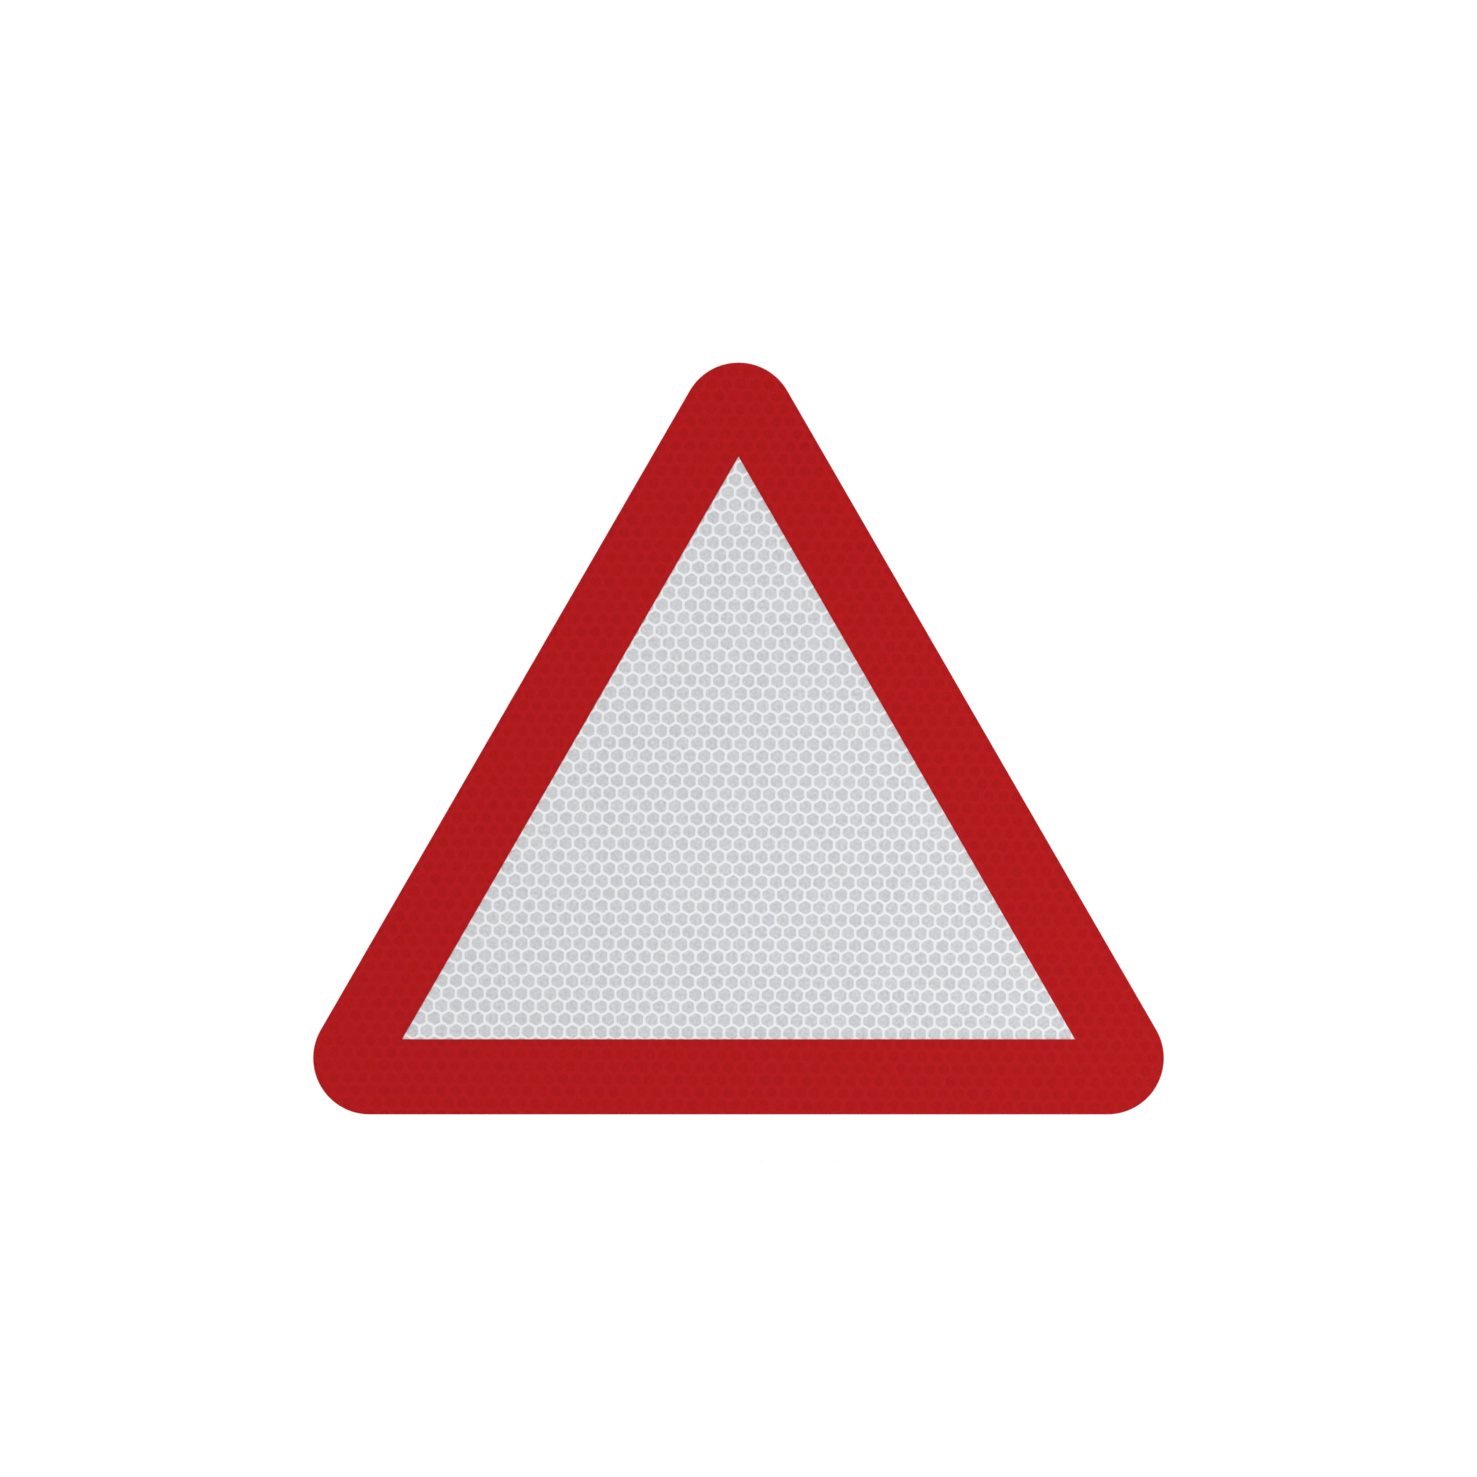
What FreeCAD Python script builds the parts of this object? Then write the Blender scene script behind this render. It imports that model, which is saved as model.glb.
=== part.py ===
import FreeCAD, Part
import enum
import math
import os
import Sketcher

# A warning triangle road sign: an aluminium plate faced with white reflective sheeting, a border
# cut from red sheeting on top of it, and two extruded rails taped to the back for the post clips.
# The sign stands upright and faces -Y, with +Z up. The origin is in the middle of the lower rail's
# open face, where a post clip bears. Lengths are in millimetres.

SIZES = [
    ("sign_height", 600.0, "bottom edge to the top of the rounded apex"),
    ("corner_radius", 45.0, "rounding of the three corners"),
    ("border_width", 60.0, "red border, square to each side"),
    ("plate_thickness", 3.0, "aluminium sheet"),
    ("plate_edge_break", 0.3, "deburred rim on the back of the plate"),
    ("white_thickness", 0.4, "white reflective sheeting"),
    ("red_thickness", 0.4, "red reflective sheeting"),
    ("lower_rail_height", 130.0, "bottom edge of the sign to the middle of the lower rail"),
    ("rail_spacing", 250.0, "middle of the lower rail to the middle of the upper one"),
    ("rail_end_margin", 36.0, "end of a rail's top edge to the sloping side of the sign"),
    ("rail_depth", 12.5, "taped face of the rail to its open face"),
    ("rail_base_width", 38.0, "flange tip to flange tip"),
    ("rail_base_thickness", 2.0, "flanges, and the floor between them"),
    ("rail_cavity_width", 14.6, "takes an M8 bolt head, 13 mm across its flats, and stops it turning"),
    ("rail_wall_thickness", 2.2, "side walls of the cavity"),
    ("rail_lip_thickness", 2.4, "lips that the bolt head pulls against"),
    ("rail_slot_width", 8.5, "gap between the lips, for an M8 bolt"),
    ("rail_guide_depth", 0.4, "vee that marks the middle of each flange"),
    ("rail_outer_round", 1.0, "outer corners of the channel"),
    ("rail_root_round", 1.2, "where each side wall meets its flange"),
    ("rail_flange_round", 0.8, "open edge of each flange"),
    ("rail_cavity_round", 0.5, "corners inside the cavity"),
    ("rail_lip_round", 0.6, "edges of the slot"),
    ("tape_thickness", 1.1, "foam mounting tape"),
    ("tape_width", 15.0, "each of a rail's two strips"),
    ("tape_edge_gap", 2.0, "flange tip to the strip"),
    ("tape_end_gap", 3.0, "end of the rail to the end of the strip"),
]

# Distances from the rails' open face to each layer, towards the front of the sign
PLATE_BACK = "(Sizes.rail_depth + Sizes.tape_thickness)"
PLATE_FRONT = "(" + PLATE_BACK + " + Sizes.plate_thickness)"
WHITE_FRONT = "(" + PLATE_FRONT + " + Sizes.white_thickness)"

# Heights of the rails over the sign's bottom edge
LOWER_RAIL = "Sizes.lower_rail_height"
UPPER_RAIL = "(Sizes.lower_rail_height + Sizes.rail_spacing)"

CLOSE = 1e-4


class At(enum.IntEnum):
    """How a sketch names the points of a line or an arc, and its own axes."""

    START = 1
    END = 2
    CENTRE = 3
    HORIZONTAL_AXIS = -1
    VERTICAL_AXIS = -2


ORIGIN = (At.HORIZONTAL_AXIS, At.START)


def fill_sheet(doc):
    """The driving dimensions, one row each: its name, its value and what it measures."""
    sheet = doc.addObject("Spreadsheet::Sheet", "Sizes")
    for row, (alias, value, meaning) in enumerate(SIZES, start=1):
        sheet.set(f"A{row}", alias)
        sheet.set(f"B{row}", str(value))
        sheet.set(f"C{row}", meaning)
        sheet.setAlias(f"B{row}", alias)
    doc.recompute()
    return sheet


def new_body(doc, name):
    body = doc.addObject("PartDesign::Body", name)
    body.Label = name
    return body


def new_sketch(body, name, plane, distance=None):
    """A sketch on one of the body's own planes, or moved forward from it by an expression."""
    sketch = body.newObject("Sketcher::SketchObject", name)
    origin_plane = next(f for f in body.Origin.OriginFeatures if f.Role == plane)
    sketch.AttachmentSupport = [(origin_plane, "")]
    sketch.MapMode = "FlatFace"
    if distance:
        sketch.setExpression(".AttachmentOffset.Base.z", distance)
    return sketch


def drive(sketch, name, expression, *constraint):
    """Adds a constraint that has a value, names it and binds it to the sheet."""
    index = sketch.addConstraint(Sketcher.Constraint(*constraint))
    sketch.renameConstraint(index, name)
    sketch.setExpression("Constraints." + name, expression)


def fix(sketch, *constraint):
    """Adds a constraint that has no value of its own."""
    sketch.addConstraint(Sketcher.Constraint(*constraint))


def draw_outline(sketch, sizes):
    """The rounded triangle, anticlockwise from its bottom side. Returns its bottom and right sides."""
    radius = sizes.corner_radius
    bottom = -sizes.lower_rail_height
    rise = sizes.sign_height - 2 * radius
    half = rise / math.sqrt(3)
    centres = [
        FreeCAD.Vector(half, bottom + radius, 0),
        FreeCAD.Vector(0, bottom + radius + rise, 0),
        FreeCAD.Vector(-half, bottom + radius, 0),
    ]
    # each side runs between two corners, and its outward normal is a third of a turn on from the last
    normals = [math.radians(angle) for angle in (-90, 30, 150)]
    loop = []
    for i in range(3):
        outward = radius * FreeCAD.Vector(math.cos(normals[i]), math.sin(normals[i]), 0)
        side = Part.LineSegment(centres[i - 1] + outward, centres[i] + outward)
        circle = Part.Circle(centres[i], FreeCAD.Vector(0, 0, 1), radius)
        corner = Part.ArcOfCircle(circle, normals[i], normals[i] + math.radians(120))
        loop += [sketch.addGeometry(side), sketch.addGeometry(corner)]
    bottom_side, right_corner, right_side, top_corner, left_side, left_corner = loop
    for i, piece in enumerate(loop):
        fix(sketch, "Tangent", piece, At.END, loop[(i + 1) % len(loop)], At.START)
    fix(sketch, "Horizontal", bottom_side)
    fix(sketch, "Equal", bottom_side, right_side)
    fix(sketch, "Equal", bottom_side, left_side)
    fix(sketch, "Equal", top_corner, right_corner)
    fix(sketch, "Equal", top_corner, left_corner)
    fix(sketch, "PointOnObject", top_corner, At.CENTRE, At.VERTICAL_AXIS)
    drive(sketch, "corner_radius", "Sizes.corner_radius", "Radius", top_corner, radius)
    drive(
        sketch, "origin_height", "Sizes.lower_rail_height",
        "DistanceY", bottom_side, At.START, *ORIGIN, -bottom,
    )
    drive(
        sketch, "arc_centre_height", "Sizes.sign_height - Sizes.corner_radius",
        "DistanceY", bottom_side, At.START, top_corner, At.CENTRE, sizes.sign_height - radius,
    )
    return bottom_side, right_side


def draw_window(sketch, sizes, bottom_side, right_side):
    """The sharp triangle inside the border, as far from the bottom side as from the slopes."""
    border = sizes.border_width
    bottom = border - sizes.lower_rail_height
    height = sizes.sign_height + sizes.corner_radius - 3 * border
    half = height / math.sqrt(3)
    points = [
        FreeCAD.Vector(-half, bottom, 0),
        FreeCAD.Vector(half, bottom, 0),
        FreeCAD.Vector(0, bottom + height, 0),
    ]
    base, right, left = [
        sketch.addGeometry(Part.LineSegment(points[i], points[(i + 1) % 3])) for i in range(3)
    ]
    fix(sketch, "Coincident", base, At.END, right, At.START)
    fix(sketch, "Coincident", right, At.END, left, At.START)
    fix(sketch, "Coincident", left, At.END, base, At.START)
    fix(sketch, "Horizontal", base)
    fix(sketch, "Equal", base, right)
    fix(sketch, "Equal", base, left)
    fix(sketch, "PointOnObject", right, At.END, At.VERTICAL_AXIS)
    drive(
        sketch, "bottom_border", "Sizes.border_width",
        "DistanceY", bottom_side, At.START, base, At.START, border,
    )
    drive(
        sketch, "slope_border", "Sizes.border_width",
        "Distance", right, At.END, right_side, border,
    )


def pad_forward(body, sketch, name, thickness):
    """A sheet grown from its sketch towards the front of the sign."""
    pad = body.newObject("PartDesign::Pad", name)
    pad.Profile = sketch
    pad.setExpression("Length", thickness)
    body.Tip = pad
    return pad


def face_towards(shape, direction):
    """The name of the flat face whose outward normal is the given direction."""
    for i, face in enumerate(shape.Faces, start=1):
        if isinstance(face.Surface, Part.Plane) and face.normalAt(0, 0).dot(direction) > 1 - CLOSE:
            return f"Face{i}"
    raise ValueError("no flat face looks that way")


def make_plate(doc, sizes):
    """The aluminium plate, with its back rim deburred."""
    body = new_body(doc, "sign_plate")
    sketch = new_sketch(body, "PlateOutline", "XZ_Plane", PLATE_BACK)
    draw_outline(sketch, sizes)
    blank = pad_forward(body, sketch, "PlateBlank", "Sizes.plate_thickness")
    doc.recompute()
    rim = body.newObject("PartDesign::Chamfer", "PlateRim")
    rim.Base = (blank, [face_towards(blank.Shape, FreeCAD.Vector(0, 1, 0))])
    rim.setExpression("Size", "Sizes.plate_edge_break")
    body.Tip = rim
    return body


def make_white_sheeting(doc, sizes):
    """White sheeting over the whole face of the plate, trimmed to its edge."""
    body = new_body(doc, "white_sheeting")
    sketch = new_sketch(body, "WhiteOutline", "XZ_Plane", PLATE_FRONT)
    draw_outline(sketch, sizes)
    pad_forward(body, sketch, "WhiteSheet", "Sizes.white_thickness")
    return body


def make_red_border(doc, sizes):
    """The border cut from red sheeting, with the sharp triangular window that shows the white."""
    body = new_body(doc, "red_border_sheeting")
    sketch = new_sketch(body, "BorderOutline", "XZ_Plane", WHITE_FRONT)
    bottom_side, right_side = draw_outline(sketch, sizes)
    draw_window(sketch, sizes, bottom_side, right_side)
    pad_forward(body, sketch, "BorderSheet", "Sizes.red_thickness")
    return body


def draw_rail_section(sketch, sizes):
    """The rail's section: depth to the right, height up, and its lower half mirrors the upper one.

    The upper half runs from the taped face round the flange, its guide vee, the side wall and the
    lip, and back inside along the cavity."""
    base = -sizes.rail_depth
    flange = base + sizes.rail_base_thickness
    tip = sizes.rail_base_width / 2
    cavity = sizes.rail_cavity_width / 2
    wall = cavity + sizes.rail_wall_thickness
    guide = (tip + wall) / 2
    vee = sizes.rail_guide_depth
    slot = sizes.rail_slot_width / 2
    lip = -sizes.rail_lip_thickness
    upper = [
        (base, tip), (flange, tip),
        (flange, guide + vee), (flange - vee, guide), (flange, guide - vee),
        (flange, wall), (0, wall), (0, slot), (lip, slot), (lip, cavity), (flange, cavity),
    ]
    lower = [(depth, -height) for depth, height in reversed(upper)]
    points = [FreeCAD.Vector(depth, height, 0) for depth, height in upper + lower]
    count = len(points)
    lines = [
        sketch.addGeometry(Part.LineSegment(points[i], points[(i + 1) % count]))
        for i in range(count)
    ]
    for i in range(count):
        fix(sketch, "Coincident", lines[i], At.END, lines[(i + 1) % count], At.START)
    for i in range(len(upper)):
        fix(sketch, "Symmetric", lines[i], At.START, lines[count - 1 - i], At.START, At.HORIZONTAL_AXIS)

    # the start of each line of the upper half, by name
    (base_tip, flange_tip, vee_out, vee_bottom, vee_in, root,
     shoulder, lip_face, lip_back, cavity_lip, cavity_floor) = lines[:len(upper)]
    for line in (base_tip, root, lip_face, cavity_lip):
        fix(sketch, "Horizontal", line)
    for line in (flange_tip, vee_in, shoulder, lip_back):
        fix(sketch, "Vertical", line)
    fix(sketch, "Vertical", vee_out, At.START, vee_in, At.START)
    fix(sketch, "Vertical", cavity_floor, At.START, root, At.START)
    fix(sketch, "PointOnObject", shoulder, At.START, At.VERTICAL_AXIS)

    def between_mirrored(name, line, full_width):
        drive(
            sketch, name, "Sizes." + name,
            "DistanceY", lines[count - 1 - line], At.START, line, At.START, full_width,
        )

    between_mirrored("rail_base_width", base_tip, 2 * tip)
    between_mirrored("rail_cavity_width", cavity_floor, 2 * cavity)
    between_mirrored("rail_slot_width", lip_face, 2 * slot)
    drive(
        sketch, "rail_wall_thickness", "Sizes.rail_wall_thickness",
        "DistanceY", cavity_floor, At.START, root, At.START, wall - cavity,
    )
    drive(
        sketch, "rail_depth", "Sizes.rail_depth",
        "DistanceX", base_tip, At.START, *ORIGIN, -base,
    )
    drive(
        sketch, "rail_base_thickness", "Sizes.rail_base_thickness",
        "DistanceX", base_tip, At.START, flange_tip, At.START, flange - base,
    )
    drive(
        sketch, "rail_lip_thickness", "Sizes.rail_lip_thickness",
        "DistanceX", lip_back, At.START, *ORIGIN, -lip,
    )
    drive(
        sketch, "rail_guide_depth", "Sizes.rail_guide_depth",
        "DistanceX", vee_bottom, At.START, vee_out, At.START, vee,
    )
    drive(
        sketch, "guide_upper_half", "Sizes.rail_guide_depth",
        "DistanceY", vee_bottom, At.START, vee_out, At.START, vee,
    )
    drive(
        sketch, "guide_lower_half", "Sizes.rail_guide_depth",
        "DistanceY", vee_in, At.START, vee_bottom, At.START, vee,
    )
    drive(
        sketch, "guide_to_tip",
        "(Sizes.rail_base_width - Sizes.rail_cavity_width) / 4 - Sizes.rail_wall_thickness / 2",
        "DistanceY", vee_bottom, At.START, flange_tip, At.START, tip - guide,
    )


def edges_along(shape, depth, height):
    """The names of the edges that run the rail's length at a depth, above and below its middle."""
    found = []
    for i, edge in enumerate(shape.Edges, start=1):
        box = edge.BoundBox
        lengthwise = box.XLength > max(box.YLength, box.ZLength)
        if lengthwise and abs(box.YMin - depth) < CLOSE and abs(abs(box.ZMin) - height) < CLOSE:
            found.append(f"Edge{i}")
    return found


def round_edges(doc, body, name, places, radius):
    """Rounds the rail's lengthwise edges at the given places of its section."""
    base = body.Tip
    doc.recompute()
    edges = [edge for depth, height in places for edge in edges_along(base.Shape, depth, height)]
    if len(edges) != 2 * len(places):
        raise ValueError(f"{name} found {len(edges)} edges for {len(places)} places")
    fillet = body.newObject("PartDesign::Fillet", name)
    fillet.Base = (base, edges)
    fillet.setExpression("Radius", radius)
    body.Tip = fillet


def rail_length(height):
    """As long as the sign leaves room for at that height. The sloping sides, drawn on to a point,
    would meet one corner radius above the rounded apex."""
    below_point = f"Sizes.sign_height + Sizes.corner_radius - {height} - Sizes.rail_base_width / 2"
    return f"(2 * ({below_point}) * tan(30 deg) - 2 * Sizes.rail_end_margin)"


def make_rail(doc, sizes, name, prefix, height):
    """One extruded rail, its section drawn square to it and grown both ways."""
    body = new_body(doc, name)
    sketch = new_sketch(body, prefix + "Section", "YZ_Plane")
    draw_rail_section(sketch, sizes)
    bar = body.newObject("PartDesign::Pad", prefix + "Bar")
    bar.Profile = sketch
    bar.SideType = "Symmetric"
    bar.setExpression("Length", rail_length(height))
    body.Tip = bar

    flange = sizes.rail_base_thickness - sizes.rail_depth
    tip = sizes.rail_base_width / 2
    cavity = sizes.rail_cavity_width / 2
    wall = cavity + sizes.rail_wall_thickness
    slot = sizes.rail_slot_width / 2
    lip = -sizes.rail_lip_thickness
    round_edges(doc, body, prefix + "OuterCorners", [(0, wall)], "Sizes.rail_outer_round")
    round_edges(doc, body, prefix + "WallRoots", [(flange, wall)], "Sizes.rail_root_round")
    round_edges(doc, body, prefix + "FlangeTips", [(flange, tip)], "Sizes.rail_flange_round")
    round_edges(
        doc, body, prefix + "CavityCorners", [(lip, cavity), (flange, cavity)],
        "Sizes.rail_cavity_round",
    )
    round_edges(
        doc, body, prefix + "SlotEdges", [(0, slot), (lip, slot)], "Sizes.rail_lip_round",
    )
    body.setExpression(".Placement.Base.z", f"{height} - Sizes.lower_rail_height")
    return body


def make_tape(doc, name, height, bottom):
    """One strip of foam tape between a rail and the plate, its bottom edge that far from the
    rail's middle."""
    length = f"({rail_length(height)} - 2 * Sizes.tape_end_gap)"
    strip = doc.addObject("Part::Box", name)
    strip.Label = name
    strip.setExpression("Length", length)
    strip.setExpression("Width", "Sizes.tape_thickness")
    strip.setExpression("Height", "Sizes.tape_width")
    strip.setExpression(".Placement.Base.x", f"-{length} / 2")
    strip.setExpression(".Placement.Base.y", f"-{PLATE_BACK}")
    strip.setExpression(".Placement.Base.z", f"{height} - Sizes.lower_rail_height + {bottom}")
    return strip


def make_rails_and_tape(doc, sizes):
    """Two rails, each with a strip of tape along its top flange and one along its bottom flange."""
    top_strip = "Sizes.rail_base_width / 2 - Sizes.tape_edge_gap - Sizes.tape_width"
    bottom_strip = "Sizes.tape_edge_gap - Sizes.rail_base_width / 2"
    made = []
    for place, height in (("lower", LOWER_RAIL), ("upper", UPPER_RAIL)):
        made.append(make_rail(doc, sizes, f"{place}_rail", place.capitalize(), height))
        made.append(make_tape(doc, f"{place}_rail_top_tape", height, top_strip))
        made.append(make_tape(doc, f"{place}_rail_bottom_tape", height, bottom_strip))
    return made


def check(doc, pieces):
    """Stops before anything is written if a feature failed or a piece isn't a sound solid."""
    for thing in doc.Objects:
        if {"Invalid", "Error"} & set(thing.State):
            raise ValueError(f"{thing.Name} failed: {thing.State}")
        if thing.TypeId == "Sketcher::SketchObject" and not thing.FullyConstrained:
            raise ValueError(f"{thing.Name} isn't fully constrained")
    for piece in pieces:
        shape = piece.Shape
        if shape.isNull() or not shape.isValid() or len(shape.Solids) != 1:
            raise ValueError(f"{piece.Label} isn't one valid solid")


def main():
    doc = FreeCAD.newDocument("WarningTriangle")
    sizes = fill_sheet(doc)
    pieces = [
        make_plate(doc, sizes),
        make_white_sheeting(doc, sizes),
        make_red_border(doc, sizes),
        *make_rails_and_tape(doc, sizes),
    ]
    doc.recompute()
    check(doc, pieces)
    os.makedirs("parts", exist_ok=True)
    for piece in pieces:
        piece.Shape.exportStep(f"parts/{piece.Label}.step")
        box = piece.Shape.BoundBox
        print(
            f"{piece.Label}: {box.XLength:.2f} x {box.YLength:.2f} x {box.ZLength:.2f} mm,"
            f" {piece.Shape.Volume / 1000:.2f} cm3"
        )


main()
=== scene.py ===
import math

import bpy
import numpy as np
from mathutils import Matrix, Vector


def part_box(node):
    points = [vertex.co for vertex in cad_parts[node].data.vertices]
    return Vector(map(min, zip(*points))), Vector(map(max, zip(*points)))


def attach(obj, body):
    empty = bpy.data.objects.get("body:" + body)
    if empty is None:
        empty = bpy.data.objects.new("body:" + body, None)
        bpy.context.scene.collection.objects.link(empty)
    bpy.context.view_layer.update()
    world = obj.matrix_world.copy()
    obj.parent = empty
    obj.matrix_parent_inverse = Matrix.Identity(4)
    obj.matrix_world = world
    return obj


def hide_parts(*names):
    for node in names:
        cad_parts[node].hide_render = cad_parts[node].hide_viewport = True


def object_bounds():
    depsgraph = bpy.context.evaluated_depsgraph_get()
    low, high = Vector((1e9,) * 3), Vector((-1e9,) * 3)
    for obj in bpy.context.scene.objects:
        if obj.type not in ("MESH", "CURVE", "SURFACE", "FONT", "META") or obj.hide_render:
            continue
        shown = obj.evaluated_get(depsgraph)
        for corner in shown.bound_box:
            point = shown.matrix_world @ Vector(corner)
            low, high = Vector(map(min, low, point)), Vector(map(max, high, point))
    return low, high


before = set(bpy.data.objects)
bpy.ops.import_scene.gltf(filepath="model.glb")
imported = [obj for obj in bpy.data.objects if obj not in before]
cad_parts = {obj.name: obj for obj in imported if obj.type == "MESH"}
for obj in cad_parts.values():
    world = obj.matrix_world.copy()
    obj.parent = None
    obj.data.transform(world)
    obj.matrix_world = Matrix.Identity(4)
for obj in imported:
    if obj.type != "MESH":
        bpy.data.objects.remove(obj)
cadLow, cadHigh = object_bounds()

# A warning triangle sign that faces -Y, x to the right and z up, in metres.
# The plate and the rails are the CAD's own. The two reflective films are made again here, with
# the honeycomb of their seal lines, and so are the foam strips under the rails.

signMiddle = np.array(cadLow + cadHigh) / 2
signSize = np.array(cadHigh - cadLow)
print("frame loaded,", len(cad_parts), "nodes")


# Shader nodes: a value that is a socket gets linked, and any other is set

def addNode(tree, kind, values=None, **settings):
    node = tree.nodes.new(kind)
    for setting, value in settings.items():
        setattr(node, setting, value)
    for key, value in (values or {}).items():
        if isinstance(value, bpy.types.NodeSocket):
            tree.links.new(value, node.inputs[key])
        else:
            node.inputs[key].default_value = value
    return node


def maths(tree, operation, *values, **settings):
    node = addNode(tree, "ShaderNodeMath", dict(enumerate(values)), operation=operation, **settings)
    return node.outputs["Value"]


def vectorMaths(tree, operation, *values, result="Vector"):
    node = addNode(tree, "ShaderNodeVectorMath", dict(enumerate(values)), operation=operation)
    return node.outputs[result]


def blend(tree, factor, low, high):  # from the first colour to the second
    node = addNode(tree, "ShaderNodeMix", {0: factor}, data_type="RGBA")
    for socket, value in ((node.inputs[6], low), (node.inputs[7], high)):
        if isinstance(value, bpy.types.NodeSocket):
            tree.links.new(value, socket)
        else:
            socket.default_value = value
    return node.outputs[2]


def tones(tree, factor, colour, spread):  # one colour, times the first to the second number of spread
    return blend(tree, factor, *((*(by * share for share in colour[:3]), 1.0) for by in spread))


def between(tree, factor, low, high):  # from one number to another
    return addNode(tree, "ShaderNodeMix", {0: factor, 2: low, 3: high}).outputs[0]


def step(tree, value, low, high):  # 0 below low, 1 above high
    node = addNode(tree, "ShaderNodeMapRange", {"Value": value, "From Min": low, "From Max": high},
                   interpolation_type="SMOOTHSTEP")
    return node.outputs["Result"]


def noise(tree, place, scale, detail=2.0, roughness=0.5):
    node = addNode(tree, "ShaderNodeTexNoise",
                   {"Vector": place, "Scale": scale, "Detail": detail, "Roughness": roughness})
    return node.outputs["Fac"]


def newMaterial(name, **settings):
    material = bpy.data.materials.new(name)
    material.use_nodes = True
    tree = material.node_tree
    shader = next(node for node in tree.nodes if node.type == "BSDF_PRINCIPLED")
    for key, value in settings.items():
        shader.inputs[key.replace("_", " ")].default_value = value
    return material, tree, shader


def objectPlace(tree):
    return addNode(tree, "ShaderNodeTexCoord").outputs["Object"]


def linkBump(tree, shader, height, distance):
    bump = addNode(tree, "ShaderNodeBump", {"Height": height, "Distance": distance, "Strength": 1.0})
    tree.links.new(bump.outputs["Normal"], shader.inputs["Normal"])


def linear(red, green, blue):  # screen colour, 0 to 255, to the light that it stands for
    share = np.array([red, green, blue]) / 255
    light = np.where(share <= 0.04045, share / 12.92, ((share + 0.055) / 1.055) ** 2.4)
    return (*light.tolist(), 1.0)


# Outlines. A corner's points are its centre plus the radius times (cos, sin) of an angle that
# turns through a third of a circle, and the next corner's centre is a third of a turn further on

outline = {
    "cornerRadius": 0.045,
    "border": 0.060,  # width of the red, square to each side
    "cornerSteps": 40,
}
sideNormals = np.radians([-90.0, 30.0, 150.0])  # bottom, right, left


def roundedTriangle(low, high, radius, steps):
    rise = (high[2] - low[2]) - 2 * radius
    middle = (low[0] + high[0]) / 2
    centreX = middle + rise / math.sqrt(3) * np.array([1, 0, -1])
    centreZ = low[2] + radius + rise * np.array([0, 1, 0])
    angle = sideNormals[:, None] + np.linspace(0, math.radians(120), steps + 1)[None, :]
    x = centreX[:, None] + radius * np.cos(angle)
    z = centreZ[:, None] + radius * np.sin(angle)
    return np.column_stack([x.ravel(), z.ravel()])


# Three points at the window's height over its base, and half its side each way
def sharpTriangle(low, high, radius, border):
    middle = (low[0] + high[0]) / 2
    base = low[2] + border
    height = (high[2] - low[2]) + radius - 3 * border
    half = height / math.sqrt(3)
    return np.array([[middle - half, base], [middle + half, base], [middle, base + height]])


def newMesh(name, points, groups):  # groups: arrays of faces, one row a face
    corners = np.concatenate([group.ravel() for group in groups])
    sizes = np.concatenate([np.full(len(group), group.shape[1]) for group in groups])
    mesh = bpy.data.meshes.new(name)
    mesh.vertices.add(len(points))
    mesh.vertices.foreach_set("co", points.astype(np.float32).ravel())
    mesh.loops.add(len(corners))
    mesh.loops.foreach_set("vertex_index", corners.astype(np.int32))
    mesh.polygons.add(len(sizes))
    mesh.polygons.foreach_set("loop_start", (np.cumsum(sizes) - sizes).astype(np.int32))
    mesh.polygons.foreach_set("loop_total", sizes.astype(np.int32))
    mesh.update(calc_edges=True)
    piece = bpy.data.objects.new(name, mesh)
    bpy.context.scene.collection.objects.link(piece)
    return piece


# The loop carried from the front to the back, with a face over each end
def prism(name, loop, front, back):
    count = len(loop)
    here = np.arange(count)
    after = (here + 1) % count
    points = np.concatenate([np.insert(loop, 1, front, axis=1), np.insert(loop, 1, back, axis=1)])
    sides = np.stack([here, here + count, after + count, after], axis=1)
    return newMesh(name, points, [here[None, :], (here + count)[None, ::-1], sides])


def cutWith(piece, cutter, operation):
    knife = piece.modifiers.new("cut", "BOOLEAN")
    knife.operation = operation
    knife.solver = "EXACT"
    knife.object = cutter
    depsgraph = bpy.context.evaluated_depsgraph_get()
    cut = bpy.data.meshes.new_from_object(piece.evaluated_get(depsgraph))
    piece.modifiers.clear()
    piece.data = cut
    bpy.data.objects.remove(cutter)


# The films, of hexagonal cells that stand in rows half a pitch out of step

bothFilms = {
    "rowsTurn": math.radians(0.41),  # the rows go down to the right
    "bow": 0.062,  # by which every second side of a cell bows in, and the others bow out
    "shoulder": 0.00035,  # from a seal line's edge down to the floor of the cell
    "cellDepth": 0.0001,  # of that floor under the seal lines
    "mottleSize": 0.0024,
    "roughness": 0.34,
    "specular": 0.1,
    "ior": 1.45,
    "grains": 900.0,  # of the surface, along a metre
    "grainDepth": 0.00001,
    "sharpFrom": math.radians(8),  # the least bend that is shaded sharp, less than a shoulder's slope
}
whiteFilm = {
    **bothFilms,
    "pitch": 0.011578,
    "cellAt": (0.00714, -0.07451),  # one cell's middle, from the middle of the sign
    "sealWidth": 0.0020,  # the line between two cells
    "roundness": 13.0,  # of a cell's corners: 2 is a circle, and past 30 they are sharp
    "cornerTurn": math.radians(8),  # each way from a corner to the ends of its curve
    "softness": 0.00035,  # half the width over which the colour changes
    "raggedness": 0.075,  # of the seal lines' edges, in pitches
    "raggedSize": 0.0013,
    "coolCell": linear(202.9, 204.4, 208.7),
    "warmCell": linear(204.0, 206.0, 207.4),
    "sealColour": linear(234.5, 236.4, 238.9),
    "toneSpread": 0.048,  # from one cell to the next
    "mottle": 0.64,  # from place to place in a cell
}
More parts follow.
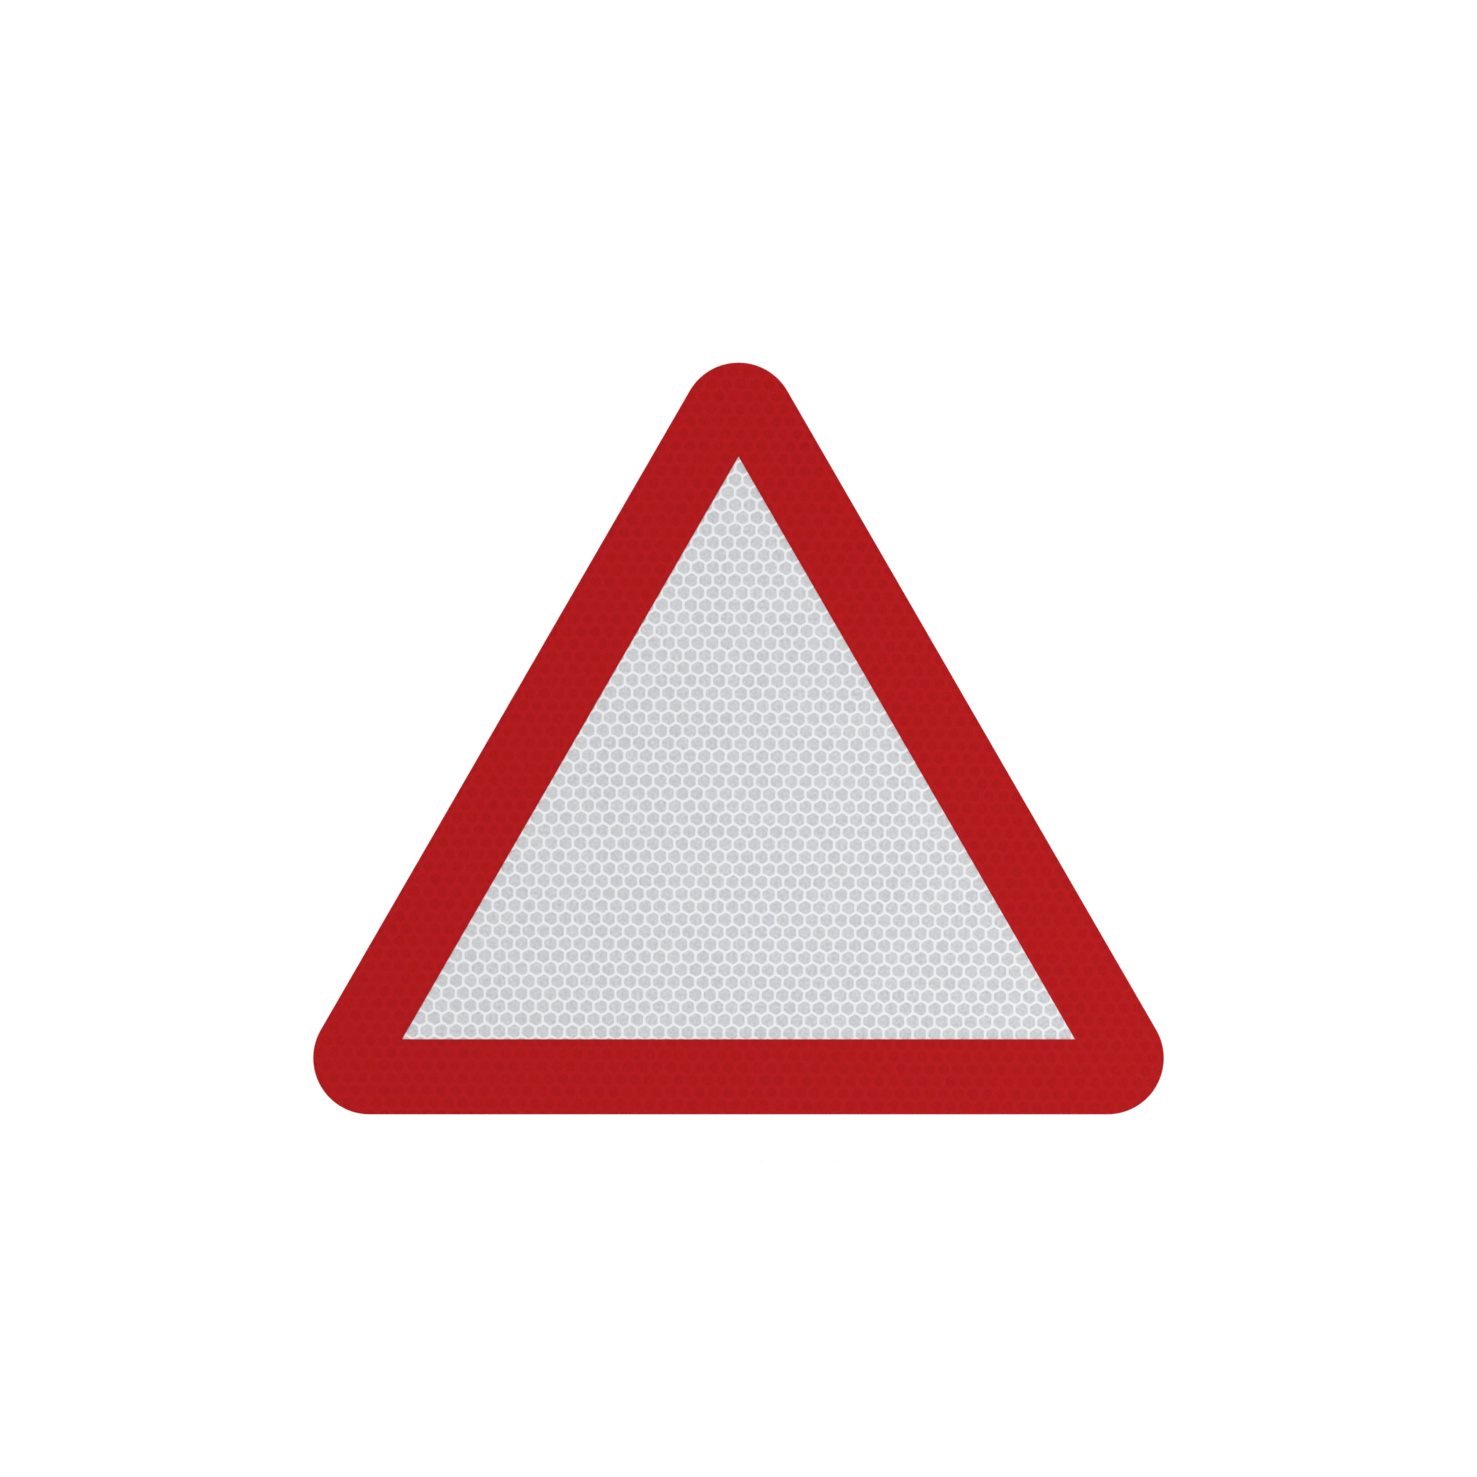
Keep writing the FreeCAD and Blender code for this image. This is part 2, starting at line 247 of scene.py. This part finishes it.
redFilm = {
    **bothFilms,
    "pitch": 0.0114515,
    "cellAt": (-0.00085, -0.07450),
    "sealWidth": 0.0032,
    "roundness": 7.0,
    "cornerTurn": math.radians(15),
    "softness": 0.00050,
    "raggedness": 0.11,
    "raggedSize": 0.0018,
    "coolCell": linear(172.5, 15, 21.4),
    "warmCell": linear(173.5, 17, 17.6),
    "sealColour": linear(178.5, 19, 24),
    "toneSpread": 0.034,
    "mottle": 0.30,
}
rowGap = math.sqrt(3) / 2  # between rows, in pitches
cellWays = np.radians([0.0, 60.0, 120.0])  # across the three pairs of a cell's sides
hexCorners = np.radians(30 + 60 * np.arange(6))
cornerGrid = 20  # steps to a pitch, on which the corners that tiles share fall together
sheetDepth = 0.0014  # of a honeycomb before it is cut to a film's thickness
knifeClear = 0.001  # how far a cutter goes past the face that it cuts through


# A cell's edge: the power mean of the widths across its three pairs of sides, times 1 + bow *
# cos(3 * angle), is the same all round it. A width is |cos(angle - way)|, so the edge's distance
# from the middle is one over that product
def cellEdge(angle, roundness, bow):
    widths = np.abs(np.cos(angle[:, None] - cellWays[None, :]))
    mean = (widths ** roundness).sum(axis=1) ** (1 / roundness)
    away = 1 / (mean * (1 + bow * np.cos(3 * angle)))
    return away[:, None] * np.column_stack([np.cos(angle), np.sin(angle)])


# How far each point lies outside a triangle's sides, given by its inscribed circle
def outsideOf(points, middle, inscribed):
    normals = np.column_stack([np.cos(sideNormals), np.sin(sideNormals)])
    return ((points - middle) @ normals.T).max(axis=1) - inscribed


# A cell's middle is its column, and half of one more in every second row, times the pitch, and its
# row times rowGap times the pitch, all turned. Each cell gets one tile: its hexagon and the brink
# of the rounded cell at the seal lines' height, then the cell's floor. Tiles share their corners,
# and the sheet is closed far behind the film
def honeycomb(name, film, front, keep):
    pitch = film["pitch"]
    reach = int(signSize.max() / pitch)
    row, column = np.mgrid[-reach:reach + 1, -reach:reach + 1]
    across = (column + row % 2 / 2) * pitch
    up = row * pitch * rowGap
    turned = np.array([[math.cos(film["rowsTurn"]), -math.sin(film["rowsTurn"])],
                       [math.sin(film["rowsTurn"]), math.cos(film["rowsTurn"])]])
    centres = np.column_stack([across.ravel(), up.ravel()]) @ turned + signMiddle[[0, 2]] + film["cellAt"]
    centres = centres[keep(centres)]

    apothem = (pitch - film["sealWidth"]) / 2
    ringTurns = np.array([-film["cornerTurn"], film["cornerTurn"], math.radians(30)])
    angle = (hexCorners[:, None] + ringTurns[None, :]).ravel()
    edge = cellEdge(angle, film["roundness"], film["bow"])
    hexagon = pitch / math.sqrt(3) * np.column_stack([np.cos(hexCorners), np.sin(hexCorners)])
    places = [shape @ turned for shape in (
        hexagon, edge * (apothem + film["shoulder"] / 2), edge * (apothem - film["shoulder"] / 2))]
    tile, brink, floor = [(centres[:, None] + place[None]).reshape(-1, 2) for place in places]
    _, first, shared = np.unique(np.round(tile / pitch * cornerGrid).astype(int), axis=0,
                                 return_index=True, return_inverse=True)
    tile = tile[first]
    corner = shared.reshape(-1, 6)

    def atDepth(flat, depth):
        return np.insert(flat, 1, front + depth, axis=1)

    points = np.concatenate([atDepth(tile, 0), atDepth(brink, 0), atDepth(floor, film["cellDepth"]),
                             atDepth(tile, sheetDepth)])
    brinkRing = len(tile) + np.arange(len(brink)).reshape(-1, len(edge))
    floorRing = brinkRing + len(brink)
    deep = len(tile) + len(brink) + len(floor)

    # each corner's curve begins at before and ends at after, and the next side's middle is halfWay
    before, after, halfWay = np.moveaxis(brinkRing.reshape(-1, 6, 3), -1, 0)
    nextCorner, nextBefore = np.roll(corner, -1, axis=1), np.roll(before, -1, axis=1)
    sealFaces = [np.stack(face, axis=-1) for face in (
        (corner, after, before), (corner, halfWay, after),
        (corner, nextCorner, halfWay), (nextCorner, nextBefore, halfWay))]
    shoulders = np.stack([brinkRing, np.roll(brinkRing, -1, axis=1), np.roll(floorRing, -1, axis=1),
                          floorRing], axis=-1)
    sides = np.stack([corner, nextCorner], axis=-1).reshape(-1, 2)
    _, where, times = np.unique(np.sort(sides, axis=1), axis=0, return_index=True, return_counts=True)
    rim = sides[where[times == 1]]  # a side that only one tile has
    walls = np.column_stack([rim[:, 1], rim[:, 0], rim[:, 0] + deep, rim[:, 1] + deep])
    groups = [group.reshape(-1, group.shape[-1]) for group in (*sealFaces, shoulders)]
    groups += [floorRing, corner[:, ::-1] + deep, walls]
    print(name, "has", len(centres), "cells")
    return newMesh(name, points, groups)


# The film's flat map, for where its pattern is kept as a picture: x and z over the whole map for
# the front, and squeezed into thin bands below it for the back and the cut edges
mapBands = {"front": (0.06, 1.0), "back": (0.0, 0.03), "edge": (0.04, 0.05)}
flatFrom = 0.5  # a face whose normal lies less than this along y is one of the edge's


def layFlat(mesh):
    count = len(mesh.vertices)
    points = np.empty(count * 3, np.float32)
    mesh.vertices.foreach_get("co", points)
    points = points.reshape(-1, 3)
    corner = np.empty(len(mesh.loops), np.int32)
    mesh.loops.foreach_get("vertex_index", corner)
    sizes = np.empty(len(mesh.polygons), np.int32)
    mesh.polygons.foreach_get("loop_total", sizes)
    normals = np.empty(len(mesh.polygons) * 3, np.float32)
    mesh.polygons.foreach_get("normal", normals)
    facing = np.repeat(normals.reshape(-1, 3)[:, 1], sizes)  # -1 at the front
    share = (points - points.min(axis=0)) / np.ptp(points, axis=0)
    u, depth, height = share[corner].T
    v = np.empty_like(u)
    for chosen, band, along in ((facing < -flatFrom, "front", height),
                                (facing > flatFrom, "back", height),
                                (np.abs(facing) <= flatFrom, "edge", depth)):
        start, end = mapBands[band]
        v[chosen] = (start + (end - start) * along)[chosen]
    layer = mesh.uv_layers.new(name="OFBake")
    layer.uv.foreach_set("vector", np.column_stack([u, v]).astype(np.float32).ravel())


def finishFilm(piece, film, material, node):
    mesh = piece.data
    layFlat(mesh)
    mesh.materials.clear()
    mesh.materials.append(material)
    mesh.polygons.foreach_set("material_index", np.zeros(len(mesh.polygons), np.int32))
    mesh.shade_smooth()
    mesh.set_sharp_from_angle(angle=film["sharpFrom"])
    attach(piece, "root")
    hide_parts(node)


# The same cells in the shader. A place is turned and scaled to pitches and wrapped into the
# nearer of two rectangular lattices, and there the power mean of the three widths and the bow
# say how near the cell's edge is
def filmMaterial(name, film):
    material, tree, shader = newMaterial(
        name, Roughness=film["roughness"], Specular_IOR_Level=film["specular"], IOR=film["ior"])
    place = objectPlace(tree)
    x, z = film["cellAt"]
    pitch = film["pitch"]
    lattice = addNode(tree, "ShaderNodeMapping", {
        "Vector": place,
        "Location": (signMiddle[0] + x, 0, signMiddle[2] + z),
        "Rotation": (0, film["rowsTurn"], 0),
        "Scale": (pitch, pitch, pitch)}, vector_type="TEXTURE").outputs["Vector"]
    flat = vectorMaths(tree, "MULTIPLY", lattice, (1, 0, 1))
    tileEnd, tileStart = (0.5, 1.0, rowGap), (-0.5, -1.0, -rowGap)
    nextRow = vectorMaths(tree, "ADD", flat, (0.5, 0, rowGap))
    inRow = vectorMaths(tree, "WRAP", flat, tileEnd, tileStart)
    betweenRows = vectorMaths(tree, "WRAP", nextRow, tileEnd, tileStart)
    nearer = maths(tree, "LESS_THAN", vectorMaths(tree, "LENGTH", betweenRows, result="Value"),
                   vectorMaths(tree, "LENGTH", inRow, result="Value"))
    inCell = addNode(tree, "ShaderNodeMix", {0: nearer, 4: inRow, 5: betweenRows},
                     data_type="VECTOR").outputs[1]

    def widthPower(way):
        direction = (math.cos(way), 0, math.sin(way))
        width = maths(tree, "ABSOLUTE", vectorMaths(tree, "DOT_PRODUCT", inCell, direction, result="Value"))
        return maths(tree, "POWER", width, film["roundness"])

    powers = [widthPower(way) for way in cellWays]
    mean = maths(tree, "POWER", maths(tree, "ADD", maths(tree, "ADD", powers[0], powers[1]), powers[2]),
                 1 / film["roundness"])
    parts = addNode(tree, "ShaderNodeSeparateXYZ", {0: inCell}).outputs
    threeTimes = maths(tree, "MULTIPLY", maths(tree, "ARCTAN2", parts["Z"], parts["X"]), 3.0)
    bow = maths(tree, "MULTIPLY_ADD", maths(tree, "COSINE", threeTimes), film["bow"], 1.0)
    ragged = maths(tree, "MULTIPLY_ADD", noise(tree, place, 1 / film["raggedSize"]),
                   film["raggedness"], -film["raggedness"] / 2)
    across = maths(tree, "MULTIPLY_ADD", mean, bow, ragged)
    apothem = (pitch - film["sealWidth"]) / 2
    seal = step(tree, across, (apothem - film["softness"]) / pitch, (apothem + film["softness"]) / pitch)

    # each cell's number is its place in whole half pitches and rows
    cell = vectorMaths(tree, "FLOOR", vectorMaths(
        tree, "MULTIPLY_ADD", vectorMaths(tree, "SUBTRACT", flat, inCell),
        (2, 1, 1 / rowGap), (0.5, 0.5, 0.5)))
    ownDraw = addNode(tree, "ShaderNodeTexWhiteNoise", {"Vector": cell}, noise_dimensions="3D").outputs
    mottle = noise(tree, place, 1 / film["mottleSize"], detail=3)
    tone = maths(tree, "ADD", 1 - film["toneSpread"] / 2 - film["mottle"] / 2, maths(
        tree, "MULTIPLY_ADD", ownDraw["Value"], film["toneSpread"],
        maths(tree, "MULTIPLY", mottle, film["mottle"])))
    hue = addNode(tree, "ShaderNodeSeparateColor", {"Color": ownDraw["Color"]}).outputs["Green"]
    cellColour = vectorMaths(tree, "SCALE", blend(tree, hue, film["coolCell"], film["warmCell"]))
    tree.links.new(tone, cellColour.node.inputs["Scale"])
    colour = blend(tree, seal, cellColour, film["sealColour"])
    tree.links.new(colour, shader.inputs["Base Color"])
    linkBump(tree, shader, noise(tree, place, film["grains"]), film["grainDepth"])
    return material


# The film is cut from its honeycomb, with a window where it is a border
def makeFilm(name, film, node, hasWindow):
    low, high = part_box(node)
    radius, border, spare = outline["cornerRadius"], outline["border"], film["pitch"]
    inscribed = ((high[2] - low[2]) + radius) / 3
    middle = np.array([signMiddle[0], low[2] + inscribed])

    def onFilm(at):
        beyond = outsideOf(at, middle, inscribed)
        innermost = -border - spare if hasWindow else -math.inf
        return (innermost < beyond) & (beyond < spare)

    piece = honeycomb(name, film, low[1], onFilm)
    loop = roundedTriangle(low, high, radius, outline["cornerSteps"])
    cutWith(piece, prism("outline_knife", loop, low[1] - knifeClear, high[1]), "INTERSECT")
    if hasWindow:
        window = sharpTriangle(low, high, radius, border)
        cutWith(piece, prism("window_knife", window, low[1] - knifeClear, high[1] + knifeClear), "DIFFERENCE")
    finishFilm(piece, film, filmMaterial(name.replace("_", " "), film), node)
    print(name, "made,", len(piece.data.polygons), "faces")


makeFilm("white_reflective_film", whiteFilm, "white_sheeting", hasWindow=False)
makeFilm("red_reflective_border", redFilm, "red_border_sheeting", hasWindow=True)


# The plate: grey paint on its back, bare metal on its cut edge

plate = {
    "paint": linear(128, 131, 134),
    "paintTones": (0.93, 1.07),
    "paintRoughness": 0.42,
    "roughnessSpread": 0.10,
    "paintReach": 0.00012,  # how far over the deburred rim the paint goes
    "peelSize": 0.0014,  # of the paint's orange peel
    "peelDepth": 0.00007,
    "cloudSize": 0.11,
    "bareMetal": linear(176, 178, 180),
    "bareTones": (0.86, 1.0),
    "bareRoughness": 0.40,
    "shearLine": (0.0014, 0.017, 0.0014),  # the streaks that the cut left, longest through the edge
}


def plateMaterial():
    material, tree, shader = newMaterial("painted plate")
    place = objectPlace(tree)
    low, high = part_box("sign_plate")
    depth = addNode(tree, "ShaderNodeSeparateXYZ", {0: place}).outputs["Y"]
    rim = high[1] - plate["paintReach"]
    painted = step(tree, depth, rim - plate["paintReach"] / 4, rim)
    peel = noise(tree, place, 1 / plate["peelSize"], detail=4, roughness=0.65)
    cloud = noise(tree, place, 1 / plate["cloudSize"], detail=3)
    paint = tones(tree, maths(tree, "MULTIPLY", maths(tree, "ADD", peel, cloud), 0.5),
                  plate["paint"], plate["paintTones"])
    shear = noise(tree, vectorMaths(tree, "DIVIDE", place, plate["shearLine"]), 1.0, detail=3, roughness=0.6)
    metal = tones(tree, shear, plate["bareMetal"], plate["bareTones"])
    tree.links.new(blend(tree, painted, metal, paint), shader.inputs["Base Color"])
    tree.links.new(maths(tree, "SUBTRACT", 1.0, painted), shader.inputs["Metallic"])
    roughness = between(tree, painted, plate["bareRoughness"], plate["paintRoughness"])
    clouded = maths(tree, "MULTIPLY_ADD", cloud, plate["roughnessSpread"], -plate["roughnessSpread"] / 2)
    tree.links.new(maths(tree, "ADD", roughness, clouded), shader.inputs["Roughness"])
    linkBump(tree, shader, peel, plate["peelDepth"])
    return material


# The rails: extruded metal, drawn out into lines along its length, and sawn ends

rail = {
    "metal": linear(196, 198, 201),
    "tones": (0.80, 1.05),
    "roughness": (0.32, 0.50),
    "fineLine": 0.00035,
    "broadLine": 0.0056,
    "lineLength": 1.2,
    "lineDepth": 0.000014,
    "sawRadius": 0.125,  # of the blade that cut the rails to length
    "sawSpacing": 0.0004,
    "sawDepth": 0.0002,  # how far in from its end a rail shows the cut
}


def railMaterial(name):
    low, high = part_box(name)
    material, tree, shader = newMaterial("extruded aluminium of " + name, Metallic=1.0)
    place = objectPlace(tree)

    def lines(width, detail):
        drawn = vectorMaths(tree, "DIVIDE", place, (rail["lineLength"], width, width))
        return noise(tree, drawn, 1.0, detail)

    fine, broad = lines(rail["fineLine"], 4), lines(rail["broadLine"], 3)

    # the saw's marks are circles about a point below the rail
    sawMiddle = (0, high[1], low[2] - rail["sawRadius"])
    across = vectorMaths(tree, "MULTIPLY", vectorMaths(tree, "SUBTRACT", place, sawMiddle), (0, 1, 1))
    turns = maths(tree, "DIVIDE", vectorMaths(tree, "LENGTH", across, result="Value"), rail["sawSpacing"])
    sawn = addNode(tree, "ShaderNodeTexNoise", {"W": turns, "Scale": 1.0, "Detail": 2.0},
                   noise_dimensions="1D").outputs["Fac"]
    x = addNode(tree, "ShaderNodeSeparateXYZ", {0: place}).outputs["X"]
    fromMiddle = maths(tree, "ABSOLUTE", maths(tree, "SUBTRACT", x, (low[0] + high[0]) / 2))
    cut = (high[0] - low[0]) / 2 - rail["sawDepth"]
    atEnd = step(tree, fromMiddle, cut, cut + rail["sawDepth"] / 2)

    tone = between(tree, atEnd, maths(tree, "MULTIPLY", maths(tree, "ADD", fine, broad), 0.5), sawn)
    tree.links.new(tones(tree, tone, rail["metal"], rail["tones"]), shader.inputs["Base Color"])
    tree.links.new(between(tree, broad, *rail["roughness"]), shader.inputs["Roughness"])
    linkBump(tree, shader, between(tree, atEnd, fine, sawn), rail["lineDepth"])
    return material


# The tape: dark foam with small closed cells, each cell's hollow painted darker as painted shade

tape = {
    "colour": linear(58, 59, 61),
    # from the darkest, in a pore's hollow, to the lightest, between pores: the dark end is painted shade
    "tones": (0.75, 1.35),
    "roughness": 0.85,
    "specular": 0.25,
    "cellSize": 0.00045,
    "cellDepth": 0.0001,
    "bulge": 0.00030,  # how far the foam is squeezed out past the faces that it sticks to
    "sideSteps": 8,
    "waviness": 0.00012,  # of its long edges
    "waveLengths": np.array([0.011, 0.023, 0.057]),
    "runStep": 0.003,
    "sharpFrom": math.radians(40),
}


# A section is carried along x. On its upper and its lower side, at each angle from -90 to 90
# degrees, the depth is half the thickness times sin, and the foam stands in from its widest by
# the bulge times (1 - cos). Three sine waves of x move both sides in a little
def foamStrip(name, material, node, seed):
    low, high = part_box(node)
    middle, half = (low + high) / 2, (high - low) / 2
    x = np.linspace(low[0], high[0], int((high[0] - low[0]) / tape["runStep"]) + 1)
    phase = np.random.default_rng(seed).uniform(0, 2 * math.pi, (2, 1, len(tape["waveLengths"])))
    waves = np.sin(2 * math.pi * x[None, :, None] / tape["waveLengths"] + phase).mean(axis=-1)
    inset = tape["waviness"] * (1 - waves) / 2

    angle = np.linspace(-math.pi / 2, math.pi / 2, tape["sideSteps"] + 1)
    depth = half[1] * np.sin(angle)
    reach = half[2] - inset[..., None] - tape["bulge"] * (1 - np.cos(angle))
    upper = np.stack(np.broadcast_arrays(x[:, None], middle[1] + depth, middle[2] + reach[0]), axis=-1)
    lower = np.stack(np.broadcast_arrays(x[:, None], middle[1] + depth, middle[2] - reach[1]), axis=-1)
    points = np.concatenate([upper, lower[:, ::-1]], axis=1)  # once round the section, for each x

    index = np.arange(points.shape[0] * points.shape[1]).reshape(points.shape[:2])
    after = np.roll(index, -1, axis=1)
    sides = np.stack([index[:-1], index[1:], after[1:], after[:-1]], axis=-1).reshape(-1, 4)
    piece = newMesh(name, points.reshape(-1, 3), [sides, index[:1], index[-1:, ::-1]])
    piece.data.shade_smooth()
    piece.data.set_sharp_from_angle(angle=tape["sharpFrom"])
    piece.data.materials.append(material)
    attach(piece, "root")
    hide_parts(node)


def tapeMaterial():
    material, tree, shader = newMaterial(
        "foam tape", Roughness=tape["roughness"], Specular_IOR_Level=tape["specular"])
    place = objectPlace(tree)
    pores = addNode(tree, "ShaderNodeTexVoronoi", {"Vector": place, "Scale": 1 / tape["cellSize"]})
    poreDepthAndShade = pores.outputs["Distance"]
    # the colour is darkest where each pore's bump sinks deepest and lightest between pores: painted shade in
    # the hollows
    tree.links.new(tones(tree, poreDepthAndShade, tape["colour"], tape["tones"]), shader.inputs["Base Color"])
    linkBump(tree, shader, poreDepthAndShade, tape["cellDepth"])
    return material


def dress(name, material):
    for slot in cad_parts[name].material_slots:
        slot.material = material


dress("sign_plate", plateMaterial())
for railName in ("lower_rail", "upper_rail"):
    dress(railName, railMaterial(railName))
foam = tapeMaterial()
stripPlaces = ("lower_rail_top", "lower_rail_bottom", "upper_rail_top", "upper_rail_bottom")
for seed, stripPlace in enumerate(stripPlaces):
    foamStrip(stripPlace + "_foam_strip", foam, stripPlace + "_tape", seed)
print("plate and rails dressed, tape made")


# The studio: a pale floor under the sign, even light from all round, two soft lamps far away
# and one close by at the right, which makes the sign's right side a little lighter

studio = {
    "floorBelow": 0.45,  # from the sign's bottom edge
    "floorRadius": 4.0,
    "floorSides": 96,
    "floorColour": (0.78, 0.78, 0.78, 1.0),
    "floorRoughness": 0.9,
    "floorGlow": 0.10,  # for the camera, so that the floor is as white as the background
    "white": (1, 1, 1, 1),
    "evenLight": 0.62,
    # a far lamp: watts on a square metre, its way round and its height in degrees, its softness
    "farLamps": {"key": (1.10, -38, 52, 26), "back": (1.25, 158, 48, 26)},
    "fillPower": 2.5,
    "fillWay": math.radians(48),
    "fillAway": 1.35,
    "fillSize": 0.8,
}


# A disc: its rim is the radius times (cos, sin) of an angle that goes once round
def makeFloor():
    angle = np.linspace(0, 2 * math.pi, studio["floorSides"], endpoint=False)
    x = signMiddle[0] + studio["floorRadius"] * np.cos(angle)
    y = studio["floorRadius"] * np.sin(angle)
    points = np.column_stack([x, y, np.full_like(x, cadLow[2] - studio["floorBelow"])])
    floor = newMesh("studio_floor", points, [np.arange(len(x))[None, :]])
    material, tree, shader = newMaterial(
        "pale floor", Base_Color=studio["floorColour"], Roughness=studio["floorRoughness"],
        Specular_IOR_Level=0.0, Emission_Color=studio["white"])
    seen = addNode(tree, "ShaderNodeLightPath").outputs["Is Camera Ray"]
    tree.links.new(maths(tree, "MULTIPLY", seen, studio["floorGlow"]), shader.inputs["Emission Strength"])
    floor.data.materials.append(material)


def makeWorld():
    world = bpy.data.worlds.new("studio")
    bpy.context.scene.world = world
    world.use_nodes = True
    tree = world.node_tree
    background = next(node for node in tree.nodes if node.type == "BACKGROUND")
    background.inputs["Color"].default_value = studio["white"]
    path = addNode(tree, "ShaderNodeLightPath").outputs
    shown = maths(tree, "ADD", path["Is Camera Ray"], maths(
        tree, "ADD", path["Is Glossy Ray"], path["Is Transmission Ray"]), use_clamp=True)
    strength = addNode(tree, "ShaderNodeMapRange", {
        "Value": shown, "To Min": studio["evenLight"], "To Max": 1.0}).outputs["Result"]
    tree.links.new(strength, background.inputs["Strength"])


def makeLamps():
    for name, (strength, around, up, softness) in studio["farLamps"].items():
        light = bpy.data.lights.new(name, "SUN")
        light.energy = strength
        light.angle = math.radians(softness)
        lamp = bpy.data.objects.new(name, light)
        lamp.rotation_euler = (math.radians(90 - up), 0, math.radians(around))
        bpy.context.scene.collection.objects.link(lamp)

    way, away = studio["fillWay"], studio["fillAway"]
    light = bpy.data.lights.new("fill", "AREA")
    light.energy = studio["fillPower"]
    light.size = studio["fillSize"]
    fill = bpy.data.objects.new("fill", light)
    fill.location = signMiddle + away * np.array([math.sin(way), -math.cos(way), 0])
    fill.rotation_euler = (math.radians(90), 0, way)
    fill.visible_camera = False
    bpy.context.scene.collection.objects.link(fill)


# The camera looks square at the sign. At the sign's face the picture is this wide

camera = {
    "lens": 100.0,
    "sensor": 36.0,
    "pictureWidth": 1.1784,
}


def makeCamera():
    data = bpy.data.cameras.new("camera")
    data.lens = camera["lens"]
    data.sensor_width = camera["sensor"]
    away = camera["pictureWidth"] * camera["lens"] / camera["sensor"]
    eye = bpy.data.objects.new("camera", data)
    eye.location = (signMiddle[0], cadLow[1] - away, signMiddle[2])
    eye.rotation_euler = (math.radians(90), 0, 0)
    bpy.context.scene.collection.objects.link(eye)
    bpy.context.scene.camera = eye


makeFloor()
makeWorld()
makeLamps()
makeCamera()
bpy.context.scene.view_settings.view_transform = "Standard"
print("studio and camera ready")
